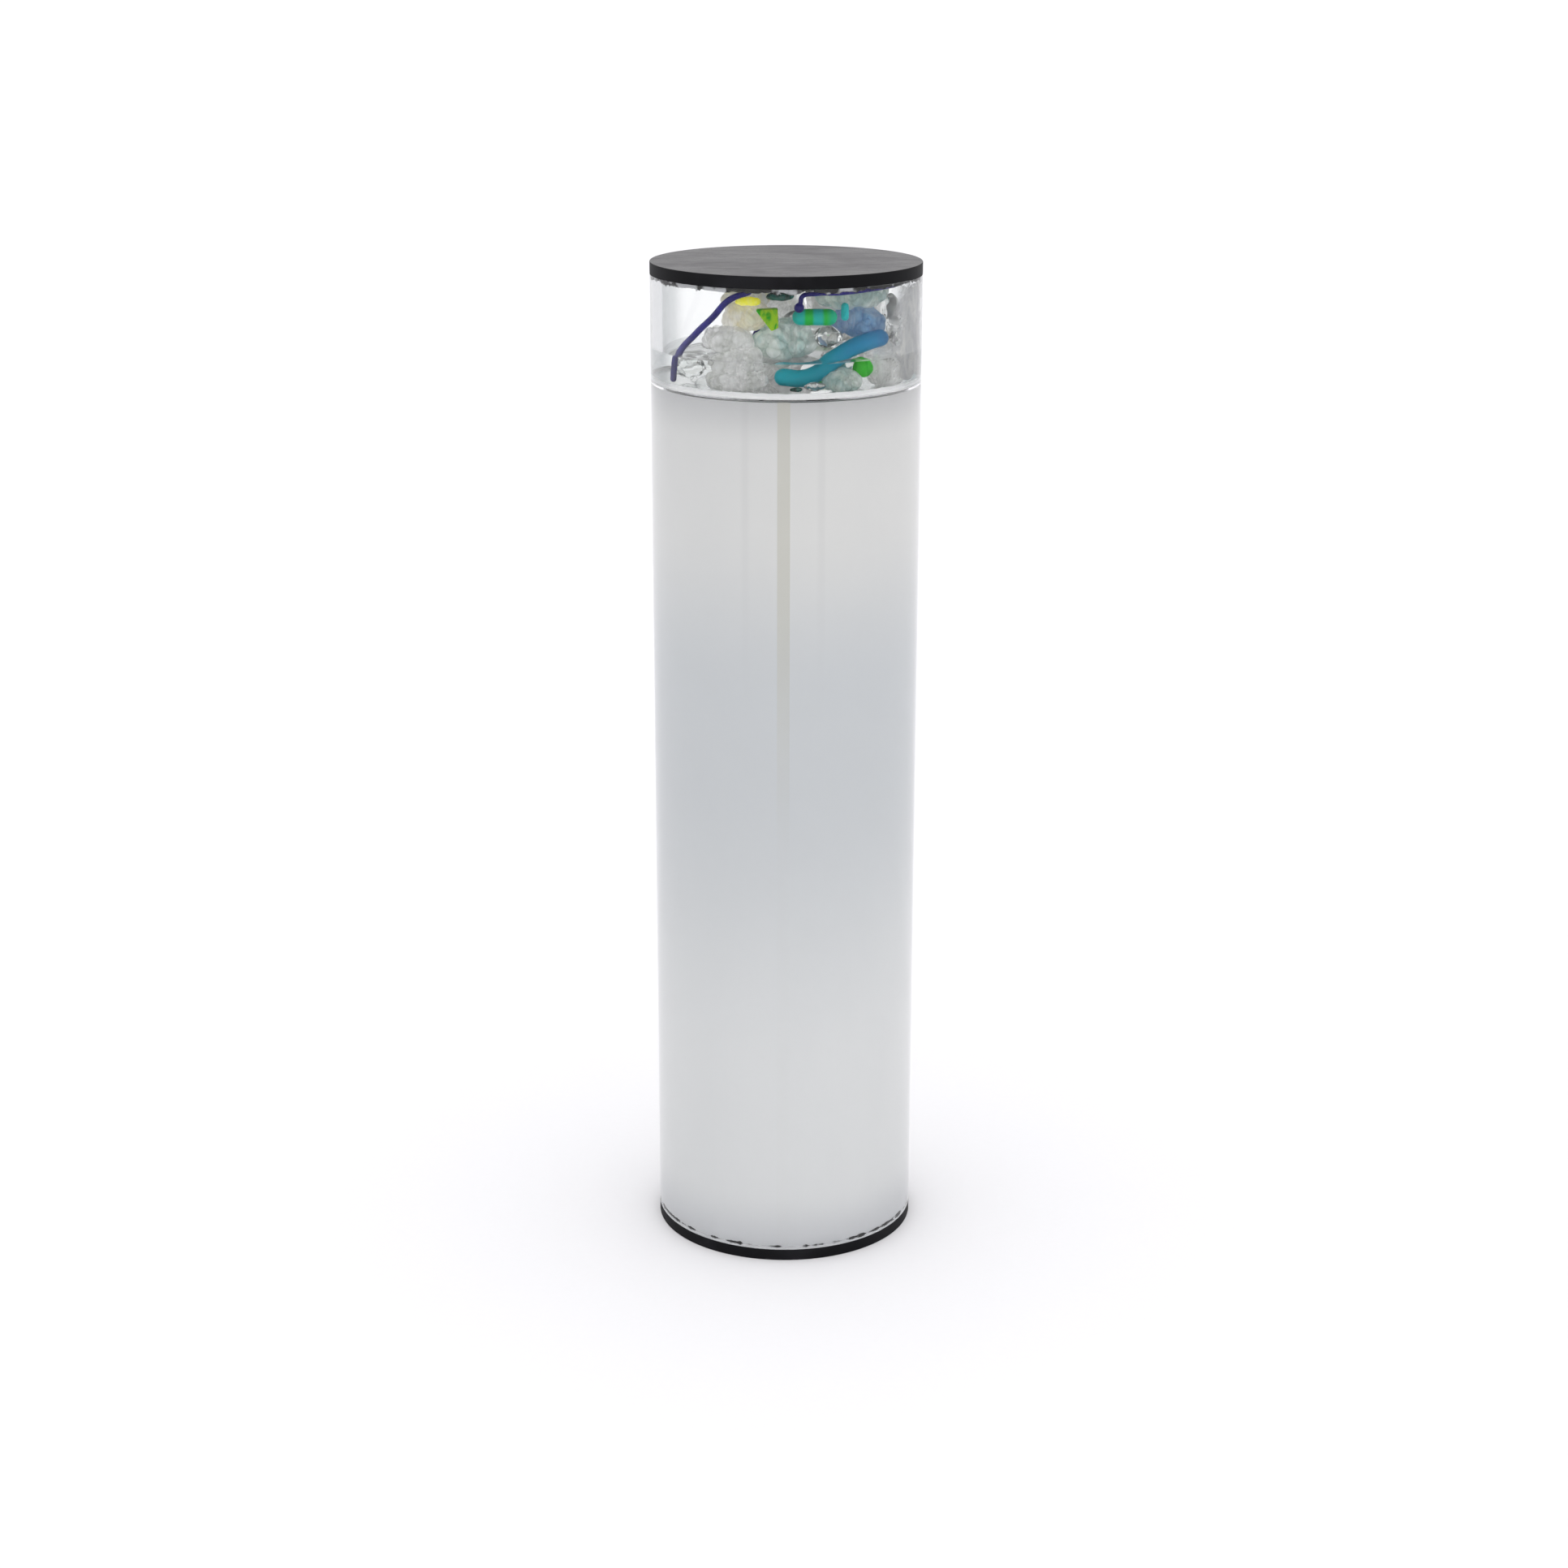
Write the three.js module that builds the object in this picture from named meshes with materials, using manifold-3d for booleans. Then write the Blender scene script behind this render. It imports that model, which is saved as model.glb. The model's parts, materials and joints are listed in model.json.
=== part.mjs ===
// Hand-held side-lit kaleidoscope standing on its eye end.
// A clear acrylic tube lined with pearl film holds a two-mirror wedge. Above it a clear chamber,
// closed by a black end disc, holds loose pieces of glass lying in a little oil.
// Units are millimetres, +Z is up, and the origin is the centre of the flat face of the eye disc.

import * as THREE from 'three';
import { mergeVertices } from 'three/addons/utils/BufferGeometryUtils.js';
import Module from 'manifold-3d';

const wasm = await Module();
wasm.setup();

// Driving dimensions.
const TOTAL_HEIGHT = 170;
const TUBE_RADIUS = 22.5;
const WALL = 2;
const DISC_THICKNESS = 2;
const SEAM_Z = 150.6;
const GAP = 0.3;

// The tube, its end discs and the chamber.
const BORE_RADIUS = TUBE_RADIUS - WALL;
const END_DISC_Z = TOTAL_HEIGHT - DISC_THICKNESS;
const EYEHOLE_RADIUS = 4.5;
const CELL_WINDOW_THICKNESS = 1;
const CELL_FLOOR_Z = 151;
const CELL_WINDOW_Z = CELL_FLOOR_Z - CELL_WINDOW_THICKNESS;

// The parts inside the body tube, from the eye end upwards. The lining stands round the eye window.
const EYE_WINDOW_Z = 3;
const EYE_WINDOW_THICKNESS = 1.5;
const LINING_Z = DISC_THICKNESS + GAP;
const LINING_TOP_Z = CELL_WINDOW_Z - GAP;
const LINING_THICKNESS = 0.4;
const LINING_RADIUS = BORE_RADIUS - GAP;
const MASK_THICKNESS = 1;
const MASK_RADIUS = LINING_RADIUS - LINING_THICKNESS - GAP;
const MASK_Z = EYE_WINDOW_Z + EYE_WINDOW_THICKNESS + GAP;
const MIRROR_Z = MASK_Z + MASK_THICKNESS + GAP;
const MIRROR_TOP_Z = LINING_TOP_Z - MASK_THICKNESS - 2 * GAP;

// The seam of the lining, seen through the tube as a narrow upright stripe.
const SEAM_GAP_DEG = 5;
const SEAM_DEG = -91.4;
const SEAM_TAPE_WIDTH = 3.2;
const SEAM_TAPE_GAP = 0.36;
const TAPE_THICKNESS = 0.3;

// The mirror wedge: two long mirrors meeting at the back, and a dark strip across the front.
const WEDGE_HALF_DEG = 15;
const WEDGE_APEX_Y = 14.5;
const MIRROR_WIDTH = 31.5;
const MIRROR_THICKNESS = 2;
const DARK_STRIP_WIDTH = 14.8;
const DARK_STRIP_Y = -15.2;
const DARK_STRIP_THICKNESS = 1.5;
const EDGE_TAPE_WIDTH = 4;
const SIGHT_HOLE_INSET = 5;

const ROUND_STEPS = 64;
const RADIANS = Math.PI / 180;

const material = (color, roughness, extra = {}) =>
  new THREE.MeshStandardMaterial({ color, roughness, metalness: 0, ...extra });

const clear = (color, opacity) => material(color, 0.06, { transparent: true, opacity });

const BLACK_ACRYLIC = material(0x1b1b1d, 0.22);
const CLEAR_ACRYLIC = clear(0xeef1f3, 0.25);
const PEARL_FILM = material(0xdcdfe2, 0.35);
const TAPE = material(0xc9c6a4, 0.5);
const MIRROR = material(0xd9dde0, 0.03, { metalness: 1 });
const BLACK_CARD = material(0x161616, 0.9);
const WHITE_CARD = material(0xe6e6e2, 0.9);

const group = new THREE.Group();

function add(name, geometry, surface, position = [0, 0, 0], turn = [0, 0, 0]) {
  const mesh = new THREE.Mesh(geometry, surface);
  mesh.name = name;
  mesh.position.set(...position);
  mesh.rotation.set(...turn.map((degrees) => degrees * RADIANS));
  group.add(mesh);
  return mesh;
}

// A flat plate standing on z = 0: an outline, with holes, raised by its thickness.
function plate(outline, thickness, holes = []) {
  outline.holes = holes;
  return new THREE.ExtrudeGeometry(outline, {
    depth: thickness,
    bevelEnabled: false,
    curveSegments: ROUND_STEPS / 2,
  });
}

function circle(radius) {
  const outline = new THREE.Shape();
  outline.absarc(0, 0, radius, 0, 2 * Math.PI, false);
  return outline;
}

// A ring swept round the Z axis, open at both ends.
function ring(outer, inner, length) {
  const profile = [
    new THREE.Vector2(inner, 0),
    new THREE.Vector2(outer, 0),
    new THREE.Vector2(outer, length),
    new THREE.Vector2(inner, length),
    new THREE.Vector2(inner, 0),
  ];
  const geometry = new THREE.LatheGeometry(profile, ROUND_STEPS);
  geometry.rotateX(Math.PI / 2);
  return geometry;
}

// A sleeve rolled from a sheet, with a narrow gap where its two long edges meet.
function rolledSheet(outer, thickness, length, seamDeg, gapDeg) {
  const start = (seamDeg + gapDeg / 2) * RADIANS;
  const end = (seamDeg + 360 - gapDeg / 2) * RADIANS;
  const outline = new THREE.Shape();
  outline.absarc(0, 0, outer, start, end, false);
  outline.absarc(0, 0, outer - thickness, end, start, true);
  return plate(outline, length);
}

// The three-cornered sight hole of a mask, set a little inside the wedge's mirrors.
function sightHole() {
  const slope = Math.tan(WEDGE_HALF_DEG * RADIANS);
  const backY = WEDGE_APEX_Y - SIGHT_HOLE_INSET;
  const frontY = DARK_STRIP_Y + DARK_STRIP_THICKNESS;
  const outline = new THREE.Path();
  outline.moveTo(0, backY);
  outline.lineTo(-(backY - frontY) * slope, frontY);
  outline.lineTo((backY - frontY) * slope, frontY);
  outline.closePath();
  return outline;
}

// Plastic case.

add('eye_disc', plate(circle(TUBE_RADIUS), DISC_THICKNESS, [circle(EYEHOLE_RADIUS)]), BLACK_ACRYLIC);

const bodyTubeZ = DISC_THICKNESS + GAP;
const bodyTubeLength = SEAM_Z - GAP - bodyTubeZ;
add('body_tube', ring(TUBE_RADIUS, BORE_RADIUS, bodyTubeLength), CLEAR_ACRYLIC, [0, 0, bodyTubeZ]);

add('eye_window', plate(circle(MASK_RADIUS), EYE_WINDOW_THICKNESS), CLEAR_ACRYLIC,
  [0, 0, EYE_WINDOW_Z]);

add('cell_window', plate(circle(BORE_RADIUS - GAP), CELL_WINDOW_THICKNESS), CLEAR_ACRYLIC,
  [0, 0, CELL_WINDOW_Z]);

const cellWallLength = END_DISC_Z - GAP - SEAM_Z;
add('cell_wall', ring(TUBE_RADIUS, BORE_RADIUS, cellWallLength), CLEAR_ACRYLIC, [0, 0, SEAM_Z]);

add('end_disc', plate(circle(TUBE_RADIUS), DISC_THICKNESS), BLACK_ACRYLIC, [0, 0, END_DISC_Z]);

// Pearl lining and the tape behind its seam.

const liningLength = LINING_TOP_Z - LINING_Z;
add('pearl_lining',
  rolledSheet(LINING_RADIUS, LINING_THICKNESS, liningLength, SEAM_DEG, SEAM_GAP_DEG),
  PEARL_FILM, [0, 0, LINING_Z]);

const seamTapeRadius = LINING_RADIUS - LINING_THICKNESS - SEAM_TAPE_GAP - TAPE_THICKNESS / 2;
add('lining_seam_tape',
  new THREE.BoxGeometry(TAPE_THICKNESS, SEAM_TAPE_WIDTH, MIRROR_TOP_Z - MIRROR_Z), TAPE,
  [
    seamTapeRadius * Math.cos(SEAM_DEG * RADIANS),
    seamTapeRadius * Math.sin(SEAM_DEG * RADIANS),
    (MIRROR_TOP_Z + MIRROR_Z) / 2,
  ],
  [0, 0, SEAM_DEG]);

// Mirror wedge, its tapes and the two masks that centre it in the tube.

const mirrorLength = MIRROR_TOP_Z - MIRROR_Z;
const mirrorMiddleZ = (MIRROR_TOP_Z + MIRROR_Z) / 2;

for (const [side, sign] of [['left', -1], ['right', 1]]) {
  const wedge = new THREE.Group();
  wedge.position.set(0, WEDGE_APEX_Y, mirrorMiddleZ);
  wedge.rotation.z = sign * WEDGE_HALF_DEG * RADIANS;
  group.add(wedge);

  const mirror = new THREE.Mesh(
    new THREE.BoxGeometry(MIRROR_THICKNESS, MIRROR_WIDTH, mirrorLength), MIRROR);
  mirror.name = `mirror_${side}`;
  mirror.position.set(sign * (MIRROR_THICKNESS / 2 + GAP), -MIRROR_WIDTH / 2 - GAP, 0);
  wedge.add(mirror);

  const tape = new THREE.Mesh(
    new THREE.BoxGeometry(TAPE_THICKNESS, EDGE_TAPE_WIDTH, mirrorLength), TAPE);
  tape.name = `mirror_edge_tape_${side}`;
  tape.position.set(
    sign * (MIRROR_THICKNESS + 2 * GAP + TAPE_THICKNESS / 2),
    -MIRROR_WIDTH + EDGE_TAPE_WIDTH,
    0);
  wedge.add(tape);
}

add('mirror_apex_tape',
  new THREE.BoxGeometry(EDGE_TAPE_WIDTH, TAPE_THICKNESS, mirrorLength), TAPE,
  [0, WEDGE_APEX_Y + 1, mirrorMiddleZ]);

add('dark_front_strip',
  new THREE.BoxGeometry(DARK_STRIP_WIDTH, DARK_STRIP_THICKNESS, mirrorLength), BLACK_CARD,
  [0, DARK_STRIP_Y, mirrorMiddleZ]);

add('mirror_mask_lower', plate(circle(MASK_RADIUS), MASK_THICKNESS, [sightHole()]), BLACK_CARD,
  [0, 0, MASK_Z]);

add('mirror_mask_upper', plate(circle(MASK_RADIUS), MASK_THICKNESS, [sightHole()]), WHITE_CARD,
  [0, 0, MIRROR_TOP_Z + GAP]);

// Loose glass in the chamber. Heights are measured from the chamber floor.

const COBALT = clear(0x1c1580, 0.95);
const TURQUOISE = clear(0x0f7f96, 0.9);
const GREEN = clear(0x35b51d, 0.85);
const DARK_TEAL = clear(0x0c5550, 0.9);
const YELLOW = clear(0xe6df2c, 0.8);
const CREAM = clear(0xe9e2d0, 0.75);
const FROSTED = clear(0xd4d6d4, 0.7);
const SEA_GREY = clear(0x9fb4b4, 0.7);
const PALE_BLUE = clear(0x86a8c6, 0.65);
const CLEAR_GLASS = clear(0xdfe5e4, 0.4);

const LUMP_DETAIL = 2;
const LUMP_DENT = 0.16;
const ROD_SIDES = 10;
const BALL_SEGMENTS = 12;
const BALL_RINGS = 8;
const SHARD_THICKNESS = 2;

function positionsOnly(geometry) {
  const bare = geometry.clone();
  bare.deleteAttribute('normal');
  bare.deleteAttribute('uv');
  return mergeVertices(bare);
}

function solid(geometry) {
  const merged = positionsOnly(geometry);
  return new wasm.Manifold(new wasm.Mesh({
    numProp: 3,
    vertProperties: new Float32Array(merged.attributes.position.array),
    triVerts: new Uint32Array(merged.index.array),
  }));
}

function geometryOf(body) {
  const mesh = body.getMesh();
  const geometry = new THREE.BufferGeometry();
  geometry.setAttribute('position', new THREE.BufferAttribute(mesh.vertProperties, 3));
  geometry.setIndex(new THREE.BufferAttribute(mesh.triVerts, 1));
  geometry.computeVertexNormals();
  return geometry;
}

// A melted lump: a ball pressed in by slow waves, then stretched to its three half sizes.
function lump(halfSizes, phase) {
  const geometry = positionsOnly(new THREE.IcosahedronGeometry(1, LUMP_DETAIL));
  const points = geometry.attributes.position;
  const point = new THREE.Vector3();
  for (let index = 0; index < points.count; index += 1) {
    point.fromBufferAttribute(points, index);
    const wave = Math.sin(2.6 * point.x + phase) * Math.cos(2.2 * point.y - 1.7 * phase)
      + Math.sin(3.1 * point.z + 0.6 * phase + point.x);
    point.multiplyScalar(1 - LUMP_DENT * (0.5 + 0.25 * wave));
    points.setXYZ(index, point.x * halfSizes[0], point.y * halfSizes[1], point.z * halfSizes[2]);
  }
  geometry.computeVertexNormals();
  return geometry;
}

// A bent glass rod of even thickness along a smooth curve through its points.
function bentRod(radius, points, steps) {
  const path = new THREE.CatmullRomCurve3(points.map((at) => new THREE.Vector3(...at)));
  const section = new THREE.Shape();
  section.absarc(0, 0, radius, 0, 2 * Math.PI, false);
  return new THREE.ExtrudeGeometry(section, {
    steps,
    extrudePath: path,
    curveSegments: ROD_SIDES / 2,
  });
}

function ball(radius, at) {
  const geometry = new THREE.SphereGeometry(radius, BALL_SEGMENTS, BALL_RINGS);
  geometry.translate(...at);
  return geometry;
}

function atFloor([x, y, height]) {
  return [x, y, CELL_FLOOR_Z + height];
}

function addRod(name, surface, radius, points, steps, ballRadii) {
  let body = solid(bentRod(radius, points, steps));
  const ends = [points[0], points[points.length - 1]];
  ballRadii.forEach((ballRadius, index) => {
    if (ballRadius > 0) {
      body = body.add(solid(ball(ballRadius, ends[index])));
    }
  });
  add(name, geometryOf(body), surface, atFloor([0, 0, 0]));
}

// The long thin rod leaning on the wall at the left, its foot on the floor.
addRod('cobalt_rod_long', COBALT, 0.5, [
  [-16.9, -9.0, 0.9],
  [-16.8, -9.5, 2.6],
  [-16.7, -9.9, 5.0],
  [-14.2, -12.2, 8.6],
  [-11.4, -14.8, 11.7],
  [-8.7, -17.0, 14.8],
  [-5.8, -17.8, 16.1],
], 18, [0.5, 0.5]);

// The fine rod under the end disc, with a melted ball at its left end.
addRod('cobalt_rod_ball_end', COBALT, 0.36, [
  [2.2, -17.6, 14.3],
  [2.5, -17.6, 15.4],
  [4.6, -17.5, 15.8],
  [8.3, -16.5, 15.8],
  [13.0, -13.4, 16.0],
  [16.8, -9.0, 16.1],
], 18, [0.8, 0.36]);

// The thick rod across the front, from the floor at the middle up to the right.
addRod('turquoise_rod', TURQUOISE, 1.4, [
  [-0.4, -14.6, 2.2],
  [2.2, -15.0, 2.0],
  [4.8, -14.7, 2.8],
  [7.2, -13.8, 4.7],
  [10.2, -12.4, 6.4],
  [12.8, -10.9, 7.3],
  [14.8, -9.4, 7.7],
], 16, [1.4, 1.4]);

addRod('cobalt_rod_short', COBALT, 0.5, [
  [-7.0, 15.8, 1.0],
  [-5.0, 15.6, 5.4],
  [-2.2, 14.6, 9.6],
  [1.6, 14.2, 12.6],
], 12, [0.5, 0.5]);

add('striped_cane', new THREE.CapsuleGeometry(1.4, 4.3, 4, 12), GREEN,
  atFloor([4.5, -14.4, 11.7]), [0, 0, 88]);

add('teal_bar', new THREE.CapsuleGeometry(0.65, 1.6, 3, 10), TURQUOISE,
  atFloor([9.2, -13.8, 12.5]), [78, 0, 0]);

// The green wedge: a three-cornered shard set on edge.
const wedgeOutline = new THREE.Shape();
wedgeOutline.moveTo(-2, 1.5);
wedgeOutline.lineTo(0.5, -1.9);
wedgeOutline.lineTo(1.6, -1.4);
wedgeOutline.lineTo(1.5, 1.7);
wedgeOutline.closePath();
const wedgeShard = plate(wedgeOutline, SHARD_THICKNESS);
wedgeShard.rotateX(Math.PI / 2);
add('green_wedge', wedgeShard, GREEN, atFloor([-2.8, -14.6, 11.6]));

// name, surface, centre above the floor, half sizes, phase of the dents, turn about Z in degrees.
const LUMPS = [
  ['yellow_chip', YELLOW, [-5.9, -13.5, 14.1], [2.3, 0.9, 0.8], 1.1, 0],
  ['dark_teal_chip', DARK_TEAL, [-0.9, -13.4, 14.9], [2.6, 1.5, 0.8], 2.3, 0],
  ['pale_blue_lump', PALE_BLUE, [11.4, -7.4, 10.3], [4.1, 2.4, 2.3], 0.4, -14],
  ['green_blob', GREEN, [11.8, -12.5, 3.5], [1.8, 1.7, 1.7], 3.0, 0],
  ['small_teal_bit', DARK_TEAL, [1.6, -18.2, 0.7], [1.1, 0.6, 0.4], 0.9, 6],
  ['cream_lump', CREAM, [-6.3, -10.8, 11.5], [3.6, 2.5, 2.1], 4.1, 8],
  ['frosted_lump_upper', FROSTED, [-9.1, -12.5, 7.8], [3.9, 2.5, 1.8], 5.2, -20],
  ['frosted_lump_middle', FROSTED, [-7.6, -13.2, 4.4], [4.2, 2.5, 1.6], 2.0, 0],
  ['sea_grey_lump', SEA_GREY, [-0.4, -10.0, 7.2], [4.8, 2.7, 3.1], 1.6, 0],
  ['frosted_lump_floor', FROSTED, [-7.8, -13.4, 1.4], [4.7, 2.7, 1.2], 3.7, -6],
  ['clear_lump_right', CLEAR_GLASS, [17.2, -3.0, 9.4], [1.9, 4.1, 5.4], 0.2, 8],
  ['clear_lump_left', CLEAR_GLASS, [-14.8, -4.2, 2.3], [2.9, 3.4, 2.0], 2.7, 10],
  ['clear_leaf', CLEAR_GLASS, [6.6, -12.0, 8.3], [2.4, 1.8, 1.9], 4.6, 0],
  ['clear_shard_floor', CLEAR_GLASS, [4.4, -17.7, 1.1], [1.9, 0.9, 0.8], 5.9, 12],
  ['green_tinted_lump', SEA_GREY, [8.7, -14.6, 1.6], [2.9, 2.1, 1.3], 1.3, 20],
  ['sea_grey_lump_high', SEA_GREY, [10.2, -6.6, 14.4], [5.9, 3.5, 1.8], 3.3, -10],
  ['cream_lump_high', CREAM, [-6.4, -4.2, 13.5], [4.6, 3.2, 2.2], 0.7, 12],
  ['clear_lump_middle', CLEAR_GLASS, [2.6, -3.6, 8.4], [4.6, 3.2, 3.3], 5.0, 0],
  ['clear_lump_right_floor', CLEAR_GLASS, [9.6, -5.2, 3.2], [4.5, 3.6, 2.7], 2.4, -8],
  ['frosted_lump_back_floor', FROSTED, [-4.6, -4.6, 3.0], [4.6, 3.5, 2.6], 4.4, 6],
  ['clear_lump_back_left', CLEAR_GLASS, [-10.6, 5.8, 3.4], [4.6, 4.2, 3.1], 1.9, 24],
  ['frosted_lump_back', FROSTED, [-0.6, 8.2, 3.6], [4.2, 4.4, 3.2], 3.5, 0],
  ['clear_lump_back_right', CLEAR_GLASS, [10.6, 6.6, 3.2], [4.0, 4.4, 2.8], 0.5, -24],
  ['smoky_lump_right', FROSTED, [15.4, -8.0, 3.0], [2.5, 3.2, 2.6], 1.0, -30],
  ['smoky_lump_back_right', FROSTED, [9.6, 4.6, 11.2], [5.6, 5.0, 4.5], 2.2, 10],
  ['smoky_lump_back', FROSTED, [-3.2, 6.2, 11.2], [5.8, 4.6, 3.7], 0.1, -14],
  ['turquoise_pebble', TURQUOISE, [12.6, 12.6, 1.9], [2.3, 2.6, 1.7], 2.9, 30],
  ['green_pebble', GREEN, [6.4, 14.6, 2.0], [2.1, 1.8, 1.6], 4.8, 0],
];

for (const [name, surface, centre, halfSizes, phase, turnDeg] of LUMPS) {
  add(name, lump(halfSizes, phase), surface, atFloor(centre), [0, 0, turnDeg]);
}

export default group;
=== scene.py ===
import json
import math

import bmesh
import bpy
from mathutils import Matrix, Vector


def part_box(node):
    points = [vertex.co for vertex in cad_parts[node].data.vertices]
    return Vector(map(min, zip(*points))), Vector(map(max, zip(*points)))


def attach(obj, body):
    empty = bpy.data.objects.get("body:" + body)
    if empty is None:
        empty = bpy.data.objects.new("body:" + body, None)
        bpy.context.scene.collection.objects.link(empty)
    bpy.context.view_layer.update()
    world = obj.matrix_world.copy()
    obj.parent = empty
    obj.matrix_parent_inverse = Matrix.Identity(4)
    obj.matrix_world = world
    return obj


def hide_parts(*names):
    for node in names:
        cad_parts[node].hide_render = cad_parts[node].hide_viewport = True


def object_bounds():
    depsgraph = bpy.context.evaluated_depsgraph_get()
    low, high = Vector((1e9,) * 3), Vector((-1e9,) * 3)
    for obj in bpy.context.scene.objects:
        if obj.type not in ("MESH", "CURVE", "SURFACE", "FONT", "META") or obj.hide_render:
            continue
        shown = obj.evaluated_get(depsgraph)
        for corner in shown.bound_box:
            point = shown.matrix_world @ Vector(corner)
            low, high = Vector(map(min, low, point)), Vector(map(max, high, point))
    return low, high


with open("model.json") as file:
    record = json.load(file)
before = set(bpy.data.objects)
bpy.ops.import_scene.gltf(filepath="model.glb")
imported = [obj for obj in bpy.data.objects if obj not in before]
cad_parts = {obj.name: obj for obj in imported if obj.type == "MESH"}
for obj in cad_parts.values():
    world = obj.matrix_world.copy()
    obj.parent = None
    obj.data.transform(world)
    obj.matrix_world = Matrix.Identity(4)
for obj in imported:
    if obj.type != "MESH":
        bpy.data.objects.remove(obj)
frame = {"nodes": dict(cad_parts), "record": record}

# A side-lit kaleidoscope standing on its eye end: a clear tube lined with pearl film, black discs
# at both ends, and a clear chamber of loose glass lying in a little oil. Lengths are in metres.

cad_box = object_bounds()

MM = 0.001
ROUND = 192

# Places worked out from the frame.
TUBE_RADIUS = (cad_box[1].x - cad_box[0].x) / 2
TUBE_TOP = cad_box[1].z
EYE_DISC_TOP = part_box("eye_disc")[1].z
END_DISC_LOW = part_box("end_disc")[0].z
CELL_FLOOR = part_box("cell_window")[1].z
CELL_WALL_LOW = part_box("cell_wall")[0].z
LINING_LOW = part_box("pearl_lining")[0].z
LINING_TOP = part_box("pearl_lining")[1].z

# Sizes that the frame doesn't give. CONTACT is how far a film or liquid is let into the wall that
# it wets, so that no air is left between them.
WALL = 2 * MM
BORE = TUBE_RADIUS - WALL
CONTACT = 0.03 * MM
GLUE_GAP = 0.02 * MM
GLUED_EDGE = 0.006 * MM
DISC_EDGE = 0.12 * MM
EYEHOLE = 4.5 * MM
OIL_DEPTH = 5.0 * MM
FILM_THICKNESS = 0.3 * MM
TAPE_THICKNESS = 0.1 * MM
SMEAR_THICKNESS = 0.2 * MM
SMEAR_MARGIN = 1.2 * MM
SEAM_DEG = -91.4
SEAM_GAP_DEG = 5

ACRYLIC_IOR = 1.49
GLASS_IOR = 1.5
OIL_IOR = 1.10
EVEN_SPREAD = (1.0, 1.0, 1.0)

BODY_OF = {
    node: body
    for body, nodes in frame["record"]["behaviour"]["bodies"].items()
    for node in nodes
}
SLOT_OF = {part["node"]: part["material_slot"] for part in frame["record"]["subparts"]}


# Materials ------------------------------------------------------------------------------------

class Wire:
    """A value in a shader tree. Sums, products and so on with it become Math nodes."""

    def __init__(self, tree, socket):
        self.tree = tree
        self.socket = socket

    def maths(self, operation, first, second):
        return self.tree.node("ShaderNodeMath", {"operation": operation}, {0: first, 1: second})

    def __add__(self, other):
        return self.maths("ADD", self, other)

    def __radd__(self, other):
        return self.maths("ADD", other, self)

    def __sub__(self, other):
        return self.maths("SUBTRACT", self, other)

    def __rsub__(self, other):
        return self.maths("SUBTRACT", other, self)

    def __mul__(self, other):
        return self.maths("MULTIPLY", self, other)

    def __rmul__(self, other):
        return self.maths("MULTIPLY", other, self)

    def __abs__(self):
        return self.maths("ABSOLUTE", self, 0.0)


class Tree:
    """A material's or the world's nodes."""

    def __init__(self, owner):
        owner.use_nodes = True
        self.owner = owner
        self.nodes = owner.node_tree.nodes
        self.links = owner.node_tree.links
        self.nodes.clear()

    def node(self, kind, settings=None, sockets=None, output=0):
        made = self.nodes.new(kind)
        for name, value in (settings or {}).items():
            if name == "stops":
                self.set_stops(made.color_ramp, value)
            elif name == "ramp":
                made.color_ramp.interpolation = value
            else:
                setattr(made, name, value)
        for key, value in (sockets or {}).items():
            if isinstance(value, Wire):
                self.links.new(value.socket, made.inputs[key])
            else:
                made.inputs[key].default_value = value
        if made.outputs:
            return Wire(self, made.outputs[output])
        return None

    @staticmethod
    def set_stops(ramp, stops):
        while len(ramp.elements) < len(stops):
            ramp.elements.new(1.0)
        for element, (place, colour) in zip(ramp.elements, stops):
            element.position = place
            element.color = colour

    def place(self):
        return self.node("ShaderNodeTexCoord", output="Object")

    def mapped(self, scale=(1, 1, 1), turn_deg=(0, 0, 0), shift=(0, 0, 0)):
        return self.node("ShaderNodeMapping", None, {
            "Vector": self.place(),
            "Scale": scale,
            "Rotation": tuple(math.radians(angle) for angle in turn_deg),
            "Location": shift,
        })

    def axis(self, name):
        return self.node("ShaderNodeSeparateXYZ", None, {0: self.place()}, output=name)

    def slant(self):
        """0 where the surface is seen straight on, 1 where it is seen edge on."""
        return self.node("ShaderNodeLayerWeight", None, {"Blend": 0.5}, output="Facing")

    def noise(self, vector, scale, detail=3.0, rough=0.5, distortion=0.0):
        return self.node("ShaderNodeTexNoise", None, {
            "Vector": vector,
            "Scale": scale,
            "Detail": detail,
            "Roughness": rough,
            "Distortion": distortion,
        })

    def ramp(self, value, stops, style="EASE"):
        return self.node("ShaderNodeValToRGB", {"ramp": style, "stops": stops}, {0: value})

    def fade(self, value, low, high, start=0.0, end=1.0):
        """Runs from start to end as the value goes from low to high, and stays there outside."""
        return self.node("ShaderNodeMapRange", {"interpolation_type": "SMOOTHSTEP"}, {
            0: value,
            1: low,
            2: high,
            3: start,
            4: end,
        })

    def blend(self, factor, first, second):
        return self.node("ShaderNodeMix", {"data_type": "RGBA"}, {0: factor, 6: first, 7: second},
                         output=2)

    def bump(self, height, strength, depth):
        return self.node("ShaderNodeBump", None, {
            "Strength": strength,
            "Distance": depth,
            "Height": height,
        })

    def surface(self, **values):
        """One Principled surface. Underscores in a name stand for spaces."""
        sockets = {name.replace("_", " "): value for name, value in values.items()}
        shader = self.node("ShaderNodeBsdfPrincipled", None, sockets)
        self.node("ShaderNodeOutputMaterial", None, {"Surface": shader})
        return self.owner


def new_tree(name):
    return Tree(bpy.data.materials.new(name))


def grey(level):
    return (level, level, level, 1.0)


def colour(red, green, blue):
    return (red, green, blue, 1.0)


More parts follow.
